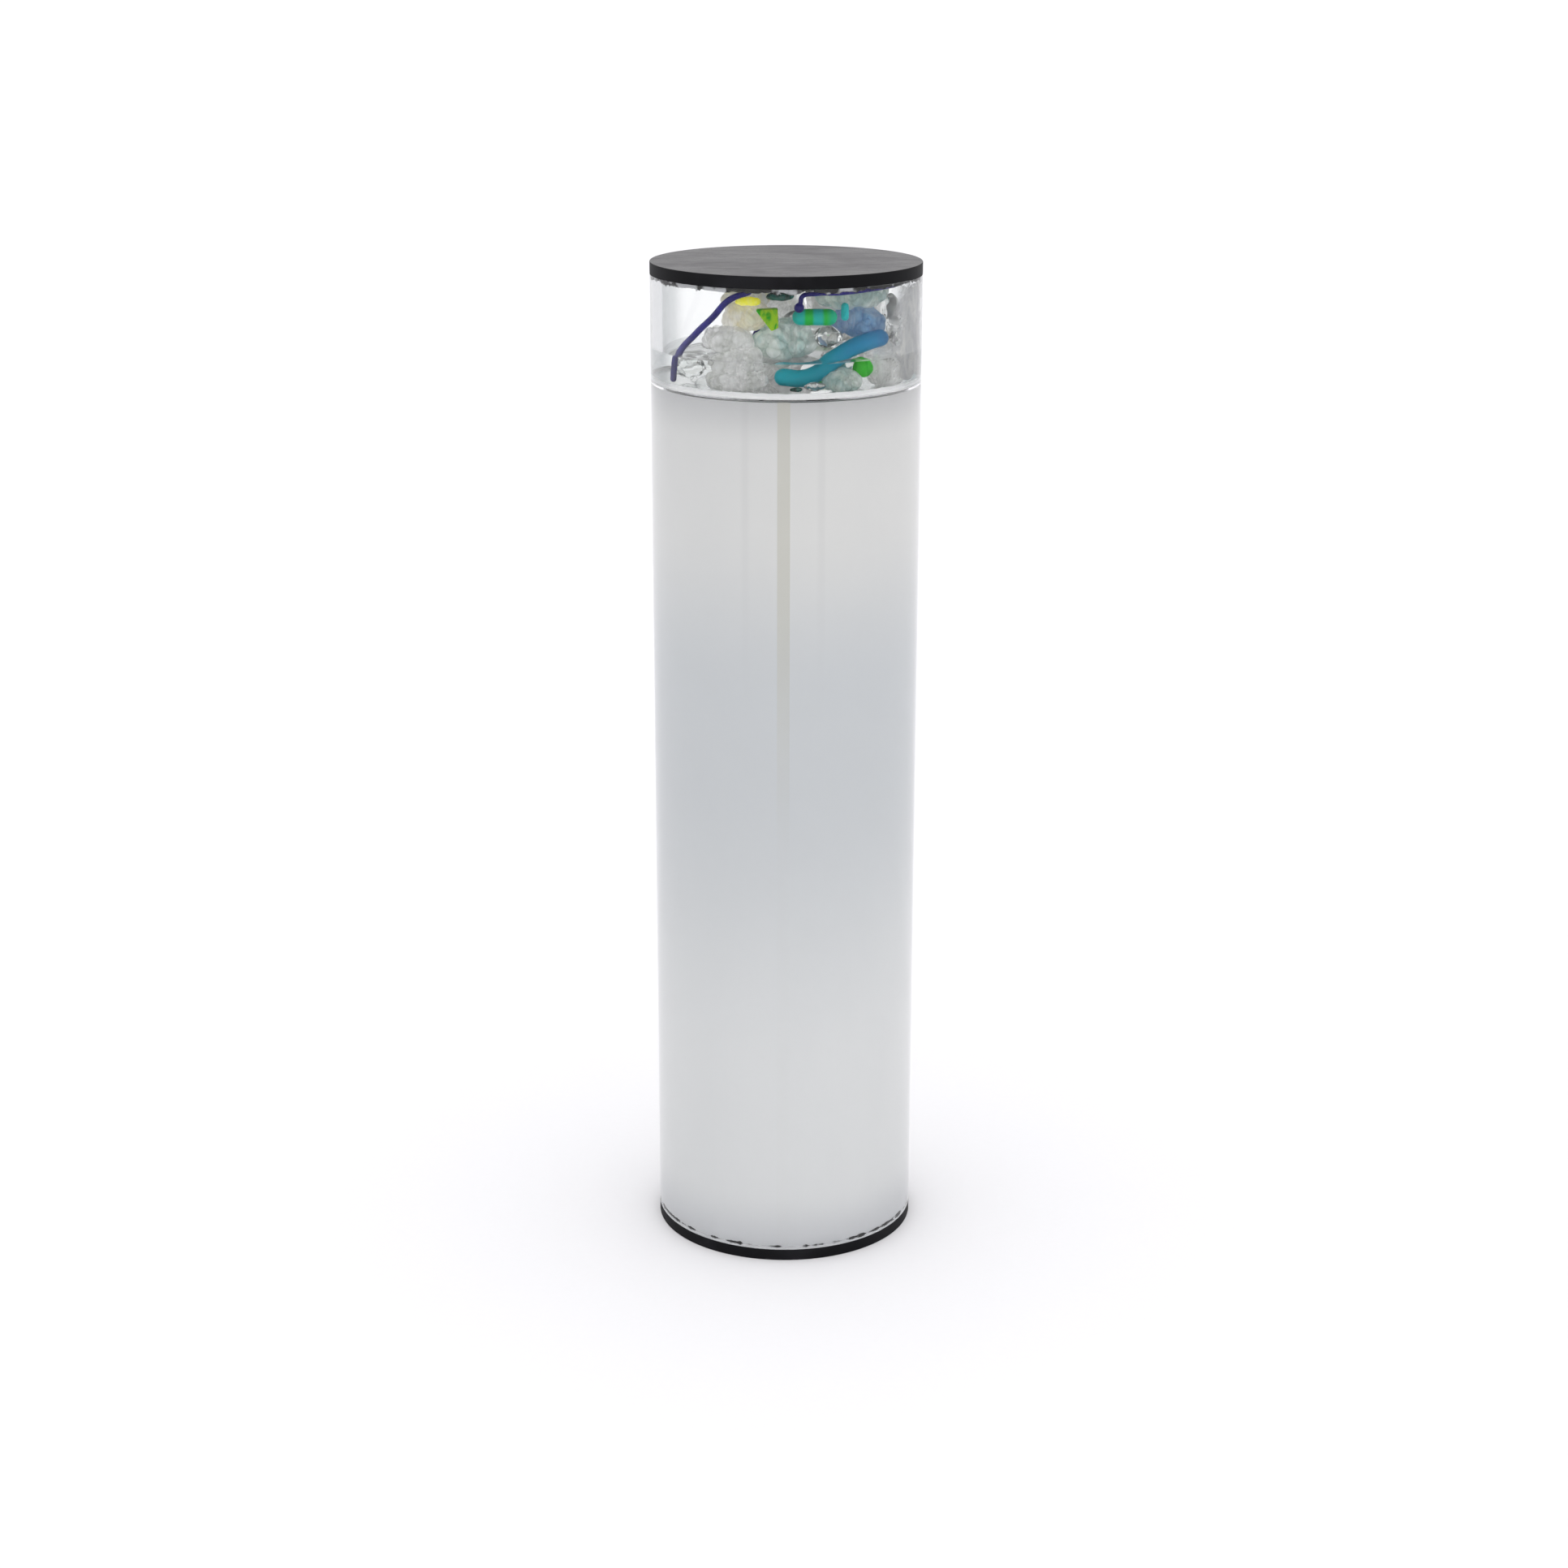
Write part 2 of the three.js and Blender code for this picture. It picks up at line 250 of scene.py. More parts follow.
def black_disc_finish(name, streak_deg):
    """Black acrylic sheet: a dull polished edge, and a face with fine crossing rub marks."""
    tree = new_tree(name)
    long_marks = tree.noise(tree.mapped((1, 22, 1), (0, 0, streak_deg)), 110, 5, 0.75)
    cross_marks = tree.noise(tree.mapped((1, 12, 1), (0, 0, streak_deg + 70)), 300, 3, 0.6)
    cloud = tree.noise(tree.place(), 90, 3, 0.6)
    marks = long_marks * 0.75 + cross_marks * 0.25
    facing = tree.node("ShaderNodeNewGeometry", output="Normal")
    up = tree.node("ShaderNodeSeparateXYZ", None, {0: facing}, output="Z")
    on_face = tree.fade(abs(up), 0.8, 0.98)
    scratch = tree.fade(marks, 0.44, 0.62)
    dust = tree.fade(cloud, 0.4, 0.7)
    tone = scratch * 0.65 + dust * 0.35
    face = tree.node("ShaderNodeBsdfPrincipled", None, {
        "Base Color": tree.blend(tone, colour(0.012, 0.011, 0.013), colour(0.060, 0.055, 0.062)),
        "Roughness": 0.25 + tone * 0.25,
        "Specular IOR Level": 0.13,
        "Normal": tree.bump(marks, 0.25, 0.05 * MM),
    })
    edge = tree.node("ShaderNodeBsdfPrincipled", None, {
        "Base Color": tree.blend(dust, colour(0.006, 0.006, 0.007), colour(0.012, 0.012, 0.014)),
        "Roughness": 0.5 + dust * 0.1,
        "Specular IOR Level": 0.05,
    })
    mixed = tree.node("ShaderNodeMixShader", None, {0: on_face, 1: edge, 2: face})
    tree.node("ShaderNodeOutputMaterial", None, {"Surface": mixed})
    return tree.owner


def acrylic_surface(tree, tint, ripple, cloudiness, sheen):
    """Polished clear acrylic with the faint long ripples of extrusion."""
    ripples = tree.noise(tree.mapped((1, 1, 0.08)), 180, 2, 0.5)
    haze = tree.noise(tree.place(), 60, 3, 0.6)
    return tree.surface(
        Base_Color=tint,
        Roughness=0.01 + tree.fade(haze, 0.45, 0.8) * cloudiness,
        Transmission_Weight=1.0,
        IOR=ACRYLIC_IOR,
        Specular_Tint=grey(sheen),
        Normal=tree.bump(ripples, ripple, 0.05 * MM),
    )


def clear_acrylic_finish():
    """The clear tube and the clear windows."""
    tree = new_tree("clear_acrylic")
    return acrylic_surface(tree, colour(0.975, 0.98, 0.985), 0.12, 0.03, 0.35)


def cell_wall_finish():
    """The chamber's wall: clear to look straight through, with painted shade that greys it where it
    is seen edge on.
    """
    tree = new_tree("clear_cell_acrylic")
    # Painted shade: the wall is tinted grey where it is seen edge on.
    tint = tree.blend(tree.fade(tree.slant(), 0.38, 0.60), colour(0.96, 0.97, 0.965),
                      colour(0.50, 0.52, 0.525))
    return acrylic_surface(tree, tint, 0.2, 0.02, 0.25)


def film_tone_with_painted_light(tree):
    """The film's colour, with painted light and shade: warm and bright near the chamber as a
    painted glow, cooler half way down as painted shade.
    """
    height = tree.axis("Z")
    across = tree.axis("X")
    clouds = tree.noise(tree.mapped((1, 1, 0.35)), 55, 4, 0.55)
    foot = tree.fade(height, LINING_LOW + 10 * MM, LINING_LOW)
    left = tree.fade(across, 14 * MM, -14 * MM)
    # Painted shade: cooler and darker from 32 mm up, below the glow.
    tone = tree.blend(tree.fade(height, 32 * MM, 86 * MM), colour(0.93, 0.94, 0.935),
                      colour(0.77, 0.795, 0.81))
    # Painted light: a warm, bright glow near the chamber, above 102 mm.
    tone = tree.blend(tree.fade(height, 102 * MM, 130 * MM), tone, colour(0.91, 0.91, 0.89))
    # Painted shade: darker over the last 10 mm at the foot.
    tone = tree.blend(foot * 0.35, tone, colour(0.58, 0.60, 0.66))
    # Painted shade: darker just under the film's top edge.
    head = tree.fade(height, LINING_TOP - 7 * MM, LINING_TOP)
    tone = tree.blend(head * 0.45, tone, colour(0.52, 0.53, 0.55))
    # Painted shade: the left side darker.
    tone = tree.blend(left * 0.18, tone, colour(0.70, 0.72, 0.73))
    tone = tree.blend(tree.fade(clouds, 0.35, 0.75) * 0.12, tone, colour(0.72, 0.74, 0.76))
    # Painted shadows: two faint upright lines from the mirrors' edges, in the upper part only.
    for place in (-6.4, 5.6):
        line = tree.fade(abs(across - place * MM), 0.9 * MM, 0.2 * MM)
        tone = tree.blend(line * tree.fade(height, 95 * MM, 140 * MM) * 0.10, tone,
                          colour(0.50, 0.50, 0.51))
    return tone


def pearl_film_finish():
    """Pearly film with a fine upright grain."""
    tree = new_tree("pearl_film")
    fine = tree.noise(tree.mapped((1, 1, 0.12)), 700, 2, 0.5)
    return tree.surface(
        # The film's colour carries painted light and shade.
        Base_Color=film_tone_with_painted_light(tree),
        Roughness=0.34 + fine * 0.12,
        Sheen_Weight=0.15,
        Normal=tree.bump(fine, 0.1, 0.1 * MM),
    )


def tape_finish():
    """Aged tape under the film's seam, yellowest near the chamber; painted shade fades its yellow
    out downwards, and it carries the film's painted light and shade.
    """
    tree = new_tree("aged_tape")
    grain = tree.noise(tree.mapped((1, 1, 0.2)), 900, 3, 0.6)
    # Painted shade: the tape's yellow fades out below the chamber's light.
    yellow = tree.fade(tree.axis("Z"), 70 * MM, 125 * MM, 0.0, 0.6)
    return tree.surface(
        Base_Color=tree.blend(yellow + grain * 0.04, film_tone_with_painted_light(tree), colour(0.66, 0.65, 0.56)),
        Roughness=0.4 + grain * 0.2,
    )


def mirror_finish():
    """A front-surface mirror with a little dust on it."""
    tree = new_tree("front_silvered_mirror")
    dust = tree.fade(tree.noise(tree.place(), 220, 3, 0.6), 0.55, 0.8)
    return tree.surface(
        Base_Color=tree.blend(dust, colour(0.86, 0.88, 0.88), colour(0.74, 0.76, 0.76)),
        Metallic=1.0,
        Roughness=0.02 + dust * 0.08,
    )


def card_finish(name, dark, light):
    """Plain card with its fibres showing."""
    tree = new_tree(name)
    fibres = tree.noise(tree.place(), 1600, 4, 0.6)
    return tree.surface(
        Base_Color=tree.blend(fibres, dark, light),
        Roughness=0.85,
        Normal=tree.bump(fibres, 0.3, 0.05 * MM),
    )


def glue_finish():
    """The white frosted glue round the edge of the chamber's window, with a painted glow."""
    tree = new_tree("frosted_glue")
    specks = tree.noise(tree.place(), 1400, 4, 0.7)
    return tree.surface(
        Base_Color=tree.blend(specks, colour(0.97, 0.97, 0.98), colour(0.82, 0.83, 0.84)),
        Roughness=0.45,
        # Painted glow: the glue gives off light of its own.
        Emission_Color=tree.blend(specks, colour(1.0, 1.0, 1.0), colour(0.55, 0.56, 0.57)),
        Emission_Strength=0.3,
        Normal=tree.bump(specks, 0.5, 0.1 * MM),
    )


def oil_finish():
    """Clear oil, with painted shade that makes it a little darker where it is seen edge on."""
    tree = new_tree("chamber_oil")
    waves = tree.noise(tree.place(), 160, 2, 0.5)
    return tree.surface(
        # Painted shade: greyer where the oil is seen edge on.
        Base_Color=tree.blend(tree.fade(tree.slant(), 0.40, 0.70), colour(0.97, 0.975, 0.975),
                              colour(0.80, 0.805, 0.825)),
        Roughness=0.0,
        Transmission_Weight=1.0,
        IOR=OIL_IOR,
        Specular_Tint=grey(0.3),
        Normal=tree.bump(waves, 0.08, 0.1 * MM),
    )


def glass_finish(name, deep, pale, clearness, rough, grain=260, dents=0.25, sheen=1.0):
    """Melted glass: two tints in soft streaks, cloudier where it is pale, with a wavy skin."""
    tree = new_tree(name)
    streaks = tree.noise(tree.mapped((1, 0.6, 0.8), (20, 35, 10)), grain, 3, 0.55, 0.8)
    skin = tree.noise(tree.place(), grain * 1.6, 3, 0.5)
    mask = tree.fade(streaks, 0.36, 0.64)
    return tree.surface(
        Base_Color=tree.blend(mask, deep, pale),
        Roughness=rough + tree.fade(skin, 0.4, 0.7) * rough * 0.8,
        Transmission_Weight=clearness,
        IOR=GLASS_IOR,
        Specular_Tint=grey(sheen),
        Normal=tree.bump(skin, dents, 0.25 * MM),
    )


def cloudy_finish(name, deep, pale, grain=230, painted_glow=0.06, thin=1.0):
    """Cloudy melted glass: light soaks through it, milky in streaks and thinner between them, with
    a painted glow of its own colour.
    """
    tree = new_tree(name)
    streaks = tree.noise(tree.mapped((1, 0.7, 0.5), (20, 35, 10)), grain, 4, 0.6, 1.6)
    skin = tree.noise(tree.place(), grain * 1.5, 3, 0.5)
    tone = tree.blend(tree.fade(streaks, 0.40, 0.60), deep, pale)
    cover = 1.0
    if thin < 1.0:
        veils = tree.noise(tree.mapped((1, 1, 0.6), (0, 25, 0)), grain * 0.8, 4, 0.6, 1.2)
        cover = tree.fade(veils, 0.40, 0.60, thin, 1.0)
    return tree.surface(
        Base_Color=tone,
        Roughness=0.3 + tree.fade(skin, 0.4, 0.7) * 0.25,
        Alpha=cover,
        Subsurface_Weight=1.0,
        Subsurface_Radius=EVEN_SPREAD,
        Subsurface_Scale=3.0 * MM,
        Transmission_Weight=0.1,
        IOR=1.12,
        Specular_Tint=grey(0.5),
        # Painted glow: the glass gives off a little light in its own colour.
        Emission_Color=tone,
        Emission_Strength=painted_glow,
        Normal=tree.bump(skin, 0.3, 0.25 * MM),
    )


def along(tree, start, end):
    """How far a point lies from start to end, from 0 to 1, along the line that joins them."""
    line = Vector(end) - Vector(start)
    reach = line.length_squared
    offset = tree.node("ShaderNodeVectorMath", {"operation": "SUBTRACT"},
                       {0: tree.place(), 1: tuple(start)})
    return tree.node("ShaderNodeVectorMath", {"operation": "DOT_PRODUCT"},
                     {0: offset, 1: tuple(line / reach)}, output="Value")


def turquoise_rod_finish(start, end):
    """A thick pulled rod that goes from teal at its low end to blue at its high end, with a faint
    painted glow.
    """
    tree = new_tree("turquoise_to_blue_glass")
    cloud = tree.noise(tree.place(), 170, 3, 0.55, 0.6)
    travel = along(tree, start, end) + (cloud - 0.5) * 0.35
    tone = tree.ramp(travel, [
        (0.0, colour(0.010, 0.42, 0.50)),
        (0.45, colour(0.010, 0.32, 0.42)),
        (0.75, colour(0.012, 0.26, 0.46)),
        (1.0, colour(0.014, 0.22, 0.52)),
    ])
    return tree.surface(
        Base_Color=tone,
        Roughness=0.3 + cloud * 0.15,
        Specular_IOR_Level=0.15,
        Subsurface_Weight=0.6,
        Subsurface_Radius=EVEN_SPREAD,
        Subsurface_Scale=1.5 * MM,
        # Painted glow: the rod gives off a little light in its own colour.
        Emission_Color=tone,
        Emission_Strength=0.08,
        Normal=tree.bump(cloud, 0.2, 0.2 * MM),
    )


def striped_cane_finish(start, end):
    """A cane of teal and green bands set across its length, with a faint painted glow."""
    tree = new_tree("striped_cane_glass")
    cloud = tree.noise(tree.place(), 300, 3, 0.5)
    travel = along(tree, start, end) + (cloud - 0.5) * 0.10
    teal = colour(0.012, 0.48, 0.42)
    green = colour(0.014, 0.50, 0.06)
    tone = tree.ramp(travel, [
        (0.0, teal),
        (0.22, teal),
        (0.30, green),
        (0.42, green),
        (0.50, teal),
        (0.64, teal),
        (0.74, green),
        (0.90, colour(0.012, 0.48, 0.26)),
    ])
    return tree.surface(
        Base_Color=tone,
        Roughness=0.25 + cloud * 0.15,
        Specular_IOR_Level=0.2,
        Subsurface_Weight=0.6,
        Subsurface_Radius=EVEN_SPREAD,
        Subsurface_Scale=1.0 * MM,
        # Painted glow: the cane gives off a little light in its own colour.
        Emission_Color=tone,
        Emission_Strength=0.08,
    )


# Modelling ------------------------------------------------------------------------------------

DOME_STEPS = 10
FILM_RINGS = 24


def only(piece):
    """Makes the piece the one selected and active object."""
    bpy.ops.object.select_all(action="DESELECT")
    piece.select_set(True)
    bpy.context.view_layer.objects.active = piece


def primitive(add, name, **sizes):
    """Adds one primitive at its size and place, and puts both into its mesh."""
    bpy.ops.object.select_all(action="DESELECT")
    add(**sizes)
    piece = bpy.context.object
    piece.name = name
    piece.data.name = name
    bpy.ops.object.transform_apply(location=True, rotation=True, scale=True)
    return piece


def pick_faces(piece, test):
    """In edit mode, selects the faces that pass the test and nothing else."""
    mesh = bmesh.from_edit_mesh(piece.data)
    bpy.ops.mesh.select_all(action="DESELECT")
    bpy.ops.mesh.select_mode(type="FACE")
    for face in mesh.faces:
        face.select = test(face)
    mesh.select_flush_mode()
    bmesh.update_edit_mesh(piece.data)


def modify(piece, kind, **settings):
    """Adds one modifier, sets it and applies it."""
    only(piece)
    modifier = piece.modifiers.new(kind.lower(), kind)
    for name, value in settings.items():
        setattr(modifier, name, value)
    bpy.ops.object.modifier_apply(modifier=modifier.name)


def smooth(piece, angle_deg=40):
    only(piece)
    bpy.ops.object.shade_smooth_by_angle(angle=math.radians(angle_deg))


def recalculated(piece):
    """Turns all the faces outwards."""
    only(piece)
    bpy.ops.object.mode_set(mode="EDIT")
    bpy.ops.mesh.select_all(action="SELECT")
    bpy.ops.mesh.normals_make_consistent(inside=False)
    bpy.ops.object.mode_set(mode="OBJECT")


def give(piece, material, node):
    """Sets a piece's finish, lets it ride with its node's body, and puts it in the node's place."""
    piece.data.materials.clear()
    piece.data.materials.append(material)
    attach(piece, BODY_OF[node])
    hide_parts(node)


def add_extra(piece, material, body):
    """A small piece with no CAD node of its own."""
    piece.data.materials.clear()
    piece.data.materials.append(material)
    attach(piece, body)


def round_plate(name, radius, low, high, edge, hole=0.0):
    """A disc with eased edges, and a hole through its middle if one is asked for."""
    piece = primitive(bpy.ops.mesh.primitive_cylinder_add, name, vertices=ROUND, radius=radius,
                      depth=high - low, location=(0, 0, (low + high) / 2))
    if hole:
        bpy.ops.object.mode_set(mode="EDIT")
        pick_faces(piece, lambda face: abs(face.normal.z) > 0.9)
        bpy.ops.mesh.inset(thickness=radius - hole, depth=0)
        bpy.ops.mesh.bridge_edge_loops()
        bpy.ops.object.mode_set(mode="OBJECT")
        recalculated(piece)
    modify(piece, "BEVEL", width=edge, segments=3, limit_method="ANGLE",
           angle_limit=math.radians(60))
    smooth(piece)
    modify(piece, "WEIGHTED_NORMAL", weight=100, keep_sharp=True)
    return piece


def rolled_film(name, radius, low, high, thickness, seam_deg, gap_deg, rings):
    """A sheet rolled into a sleeve that is open along one upright seam."""
    piece = primitive(bpy.ops.mesh.primitive_circle_add, name, vertices=ROUND, radius=radius,
                      fill_type="NOTHING", location=(0, 0, low))
    bpy.ops.object.mode_set(mode="EDIT")
    bpy.ops.mesh.select_mode(type="EDGE")
    bpy.ops.mesh.select_all(action="SELECT")
    for _ in range(rings):
        bpy.ops.mesh.extrude_region_move(
            TRANSFORM_OT_translate={"value": (0, 0, (high - low) / rings)})

    def in_seam(face):
        middle = face.calc_center_median()
        turn = math.degrees(math.atan2(middle.y, middle.x)) - seam_deg
        return abs((turn + 180) % 360 - 180) < gap_deg / 2

    pick_faces(piece, in_seam)
    bpy.ops.mesh.delete(type="FACE")
    bpy.ops.object.mode_set(mode="OBJECT")
    recalculated(piece)
    modify(piece, "SOLIDIFY", thickness=thickness, offset=-1)
    smooth(piece)
    return piece


def copy_of(node, name):
    """A copy of a CAD node's mesh with its loose corners merged, to be worked up further."""
    mesh = frame["nodes"][node].data.copy()
    piece = bpy.data.objects.new(name, mesh)
    bpy.context.scene.collection.objects.link(piece)
    only(piece)
    bpy.ops.object.mode_set(mode="EDIT")
    bpy.ops.mesh.select_all(action="SELECT")
    bpy.ops.mesh.remove_doubles(threshold=0.005 * MM)
    bpy.ops.object.mode_set(mode="OBJECT")
    return piece


def melted(node, material, wave, strength, levels=3, swell=0.0):
    """A lump of melted glass: smooth all over, with slow swells and small dimples."""
    piece = copy_of(node, node + "_glass")
    modify(piece, "SUBSURF", levels=levels, render_levels=levels)
    swells = bpy.data.textures.new(node + "_swells", "CLOUDS")
    swells.noise_scale = wave
    modify(piece, "DISPLACE", texture=swells, texture_coords="LOCAL", mid_level=0.55,
           strength=strength)
    dimples = bpy.data.textures.new(node + "_dimples", "VORONOI")
    dimples.noise_scale = wave * 0.7
    modify(piece, "DISPLACE", texture=dimples, texture_coords="LOCAL", mid_level=0.45,
           strength=strength * 0.6)
    if swell:
        modify(piece, "DISPLACE", mid_level=0.0, strength=swell)
    modify(piece, "SMOOTH", factor=0.5, iterations=2)
    smooth(piece, 180)
    give(piece, material, node)
    return piece


def chipped(node, material, edge):
    """A broken shard: flat faces with slightly eased edges."""
    piece = copy_of(node, node + "_glass")
    modify(piece, "BEVEL", width=edge, segments=4, limit_method="ANGLE",
           angle_limit=math.radians(25))
    modify(piece, "SUBSURF", levels=2, render_levels=2)
    smooth(piece, 50)
    give(piece, material, node)
    return piece


def round_end(piece, at, direction, radius, ball_radius):
    """Closes the cut end of a rod near a point with a dome, or swells it into a ball."""
    neck = max(0.0, ball_radius ** 2 - radius ** 2) ** 0.5
    middle = Vector(at)
    only(piece)
    bpy.ops.object.mode_set(mode="EDIT")
    pick_faces(piece, lambda face: len(face.verts) == 3
               and (face.calc_center_median() - middle).length < radius)
    start = -math.atan2(neck, radius)
    steps = DOME_STEPS
    width = radius
    travelled = 0.0
    for step in range(1, steps + 1):
        angle = start + (math.pi / 2 - start) * step / steps
        reach = neck + ball_radius * math.sin(angle)
        next_width = max(ball_radius * math.cos(angle), radius * 0.04)
        move = direction * (reach - travelled)
        bpy.ops.mesh.extrude_region_move(TRANSFORM_OT_translate={"value": tuple(move)})
        travelled = reach
        centre = middle + direction * travelled
        bpy.ops.transform.resize(value=(next_width / width,) * 3, center_override=centre)
        width = next_width
    bpy.ops.object.mode_set(mode="OBJECT")


def pulled_rod(node, material, points_mm, radius, ball_radii):
    """A bent rod pulled from hot glass. Points are in millimetres, heights above the floor."""
    points = [Vector((x, y, z)) * MM + Vector((0, 0, CELL_FLOOR)) for x, y, z in points_mm]
    bpy.ops.object.select_all(action="DESELECT")
    bpy.ops.curve.primitive_bezier_curve_add(location=(0, 0, 0))
    piece = bpy.context.object
    piece.name = node + "_glass"
    spline = piece.data.splines[0]
    spline.bezier_points.add(len(points) - 2)
    for knot, point in zip(spline.bezier_points, points):
        knot.co = point
        knot.handle_left_type = "AUTO"
        knot.handle_right_type = "AUTO"
    piece.data.bevel_depth = radius
    piece.data.bevel_resolution = 8
    piece.data.resolution_u = 10
    piece.data.use_fill_caps = True
    bpy.ops.object.convert(target="MESH")
    piece = bpy.context.object
    only(piece)
    bpy.ops.object.mode_set(mode="EDIT")
    bpy.ops.mesh.select_all(action="SELECT")
    bpy.ops.mesh.remove_doubles(threshold=0.002 * MM)
    bpy.ops.object.mode_set(mode="OBJECT")
    ends = (
        (points[0], (points[0] - points[1]).normalized(), ball_radii[0]),
        (points[-1], (points[-1] - points[-2]).normalized(), ball_radii[1]),
    )
    for at, direction, ball_radius in ends:
        round_end(piece, at, direction, radius, ball_radius)
    swells = bpy.data.textures.new(node + "_swells", "CLOUDS")
    swells.noise_scale = 4 * MM
    modify(piece, "DISPLACE", texture=swells, texture_coords="LOCAL", mid_level=0.5,
           strength=radius * 0.16)
    recalculated(piece)
    smooth(piece, 180)
    give(piece, material, node)
    return piece


# Case -----------------------------------------------------------------------------------------

def make_case():
    acrylic = clear_acrylic_finish()
    end_disc = round_plate("end_disc_sheet", TUBE_RADIUS, END_DISC_LOW, TUBE_TOP, DISC_EDGE)
    give(end_disc, black_disc_finish("black_end_acrylic", -24), "end_disc")

    eye_disc = round_plate("eye_disc_sheet", TUBE_RADIUS, 0.0, EYE_DISC_TOP, DISC_EDGE, EYEHOLE)
    give(eye_disc, black_disc_finish("black_eye_acrylic", 35), "eye_disc")

    body_tube = round_plate("body_tube_shell", TUBE_RADIUS, EYE_DISC_TOP + GLUE_GAP,
                            CELL_WALL_LOW - GLUE_GAP, GLUED_EDGE, BORE)
    give(body_tube, acrylic, "body_tube")

    cell_wall = round_plate("cell_wall_shell", TUBE_RADIUS, CELL_WALL_LOW,
                            END_DISC_LOW - GLUE_GAP, GLUED_EDGE, BORE)
    give(cell_wall, cell_wall_finish(), "cell_wall")

    low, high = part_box("cell_window")
    window = round_plate("cell_window_disc", high.x, low.z, high.z, 0.08 * MM)
    give(window, acrylic, "cell_window")

    low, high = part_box("eye_window")
    eye_window = round_plate("eye_window_disc", high.x, low.z, high.z, 0.1 * MM)
    give(eye_window, acrylic, "eye_window")


def make_lining():
    """The pearly film against the bore, and the tape that closes its seam."""
    film = rolled_film("pearl_lining_sheet", BORE + CONTACT, EYE_DISC_TOP + GLUE_GAP,
                       LINING_TOP + 0.2 * MM, FILM_THICKNESS, SEAM_DEG, SEAM_GAP_DEG,
                       FILM_RINGS)
    give(film, pearl_film_finish(), "pearl_lining")
    tape = rolled_film("seam_tape_strip", BORE + 0.02 * MM, EYE_DISC_TOP + GLUE_GAP,
                       LINING_TOP + 0.25 * MM, TAPE_THICKNESS, SEAM_DEG + 180,
                       360 - SEAM_GAP_DEG, FILM_RINGS)
    give(tape, tape_finish(), "lining_seam_tape")


def make_glue():
    """The frosted bead of glue round the chamber window, ragged along its top and bottom."""
    bead = round_plate("window_glue_bead", BORE + CONTACT, CELL_FLOOR - 0.5 * MM,
                       CELL_FLOOR + 0.35 * MM, 0.08 * MM, BORE - 0.25 * MM)
    ragged = bpy.data.textures.new("glue_rags", "CLOUDS")
    ragged.noise_scale = 0.8 * MM
    modify(bead, "DISPLACE", texture=ragged, texture_coords="LOCAL", mid_level=0.5,
           strength=0.3 * MM, direction="Z")
    smooth(bead, 180)
    add_extra(bead, glue_finish(), "case")


def make_inner_parts():
    """Finishes for the mirrors, tapes and cards inside the tube."""
    finishes = {
        "tape": tape_finish(),
        "mirror": mirror_finish(),
        "black_card": card_finish("black_card", colour(0.006, 0.006, 0.007),
                                  colour(0.02, 0.02, 0.02)),
        "white_card": card_finish("white_card", colour(0.80, 0.80, 0.77),
                                  colour(0.90, 0.90, 0.88)),
    }
    for node, slot in SLOT_OF.items():
        if slot in finishes:
            frame["nodes"][node].material_slots[0].material = finishes[slot]


def make_oil():
    """The oil on the chamber's floor, its edge drawn up a little where it meets the wall."""
    reach = BORE + CONTACT
    level = CELL_FLOOR + OIL_DEPTH
    low = CELL_FLOOR - CONTACT
    oil = primitive(bpy.ops.mesh.primitive_cylinder_add, "oil_pool", vertices=ROUND,
                    radius=reach, depth=level - low, location=(0, 0, (level + low) / 2))
    bpy.ops.object.mode_set(mode="EDIT")
    pick_faces(oil, lambda face: face.normal.z > 0.9)
    for width, drop in ((0.3, -0.04), (0.5, -0.03), (0.8, -0.02), (1.2, -0.01)):
        bpy.ops.mesh.inset(thickness=width * MM, depth=drop * MM)
    bpy.ops.object.mode_set(mode="OBJECT")
    smooth(oil, 60)
    add_extra(oil, oil_finish(), "case")


SMEAR_SEAM_DEG = 158
SMEAR_GAP_DEG = 314
SMEAR_RINGS = 40


def make_smear():
    """Cloudy oil held between the wall and the glass that is heaped against it on the right, with a
    faint painted glow.
    """
    smear = rolled_film("wall_smear", BORE + CONTACT, CELL_FLOOR + SMEAR_MARGIN,
                        END_DISC_LOW - SMEAR_MARGIN, SMEAR_THICKNESS, SMEAR_SEAM_DEG,
                        SMEAR_GAP_DEG, SMEAR_RINGS)
    rags = bpy.data.textures.new("smear_rags", "CLOUDS")
    rags.noise_scale = 3.5 * MM
    modify(smear, "DISPLACE", texture=rags, texture_coords="LOCAL", mid_level=0.5,
           strength=3.0 * MM, direction="Z")
    smooth(smear, 60)
    tree = new_tree("cloudy_oil")
    streaks = tree.noise(tree.mapped((1, 1, 0.5)), 320, 4, 0.6, 1.2)
    patches = tree.noise(tree.mapped((1, 1, 0.7)), 170, 4, 0.65, 1.0)
    mask = tree.fade(streaks, 0.36, 0.64)
    near_side = tree.fade(tree.axis("X"), 14.5 * MM, 18.5 * MM, -0.35, 0.16)
    far_side = tree.fade(tree.axis("Y"), -6 * MM, 1 * MM, 0.0, 0.35)
    finish = tree.surface(
        Base_Color=tree.blend(mask, colour(0.66, 0.67, 0.69), colour(0.93, 0.93, 0.90)),
        Roughness=0.3 + mask * 0.2,
        Alpha=tree.fade(patches + near_side - far_side, 0.36, 0.66, 0.0, 0.8),
        Specular_IOR_Level=0.1,
        # Painted glow: the smear gives off a little white light.
        Emission_Color=grey(1.0),
        Emission_Strength=0.03,
    )
    add_extra(smear, finish, "case")


TRACE_SEAM_DEG = 90
TRACE_GAP_DEG = 4
TRACE_RINGS = 6


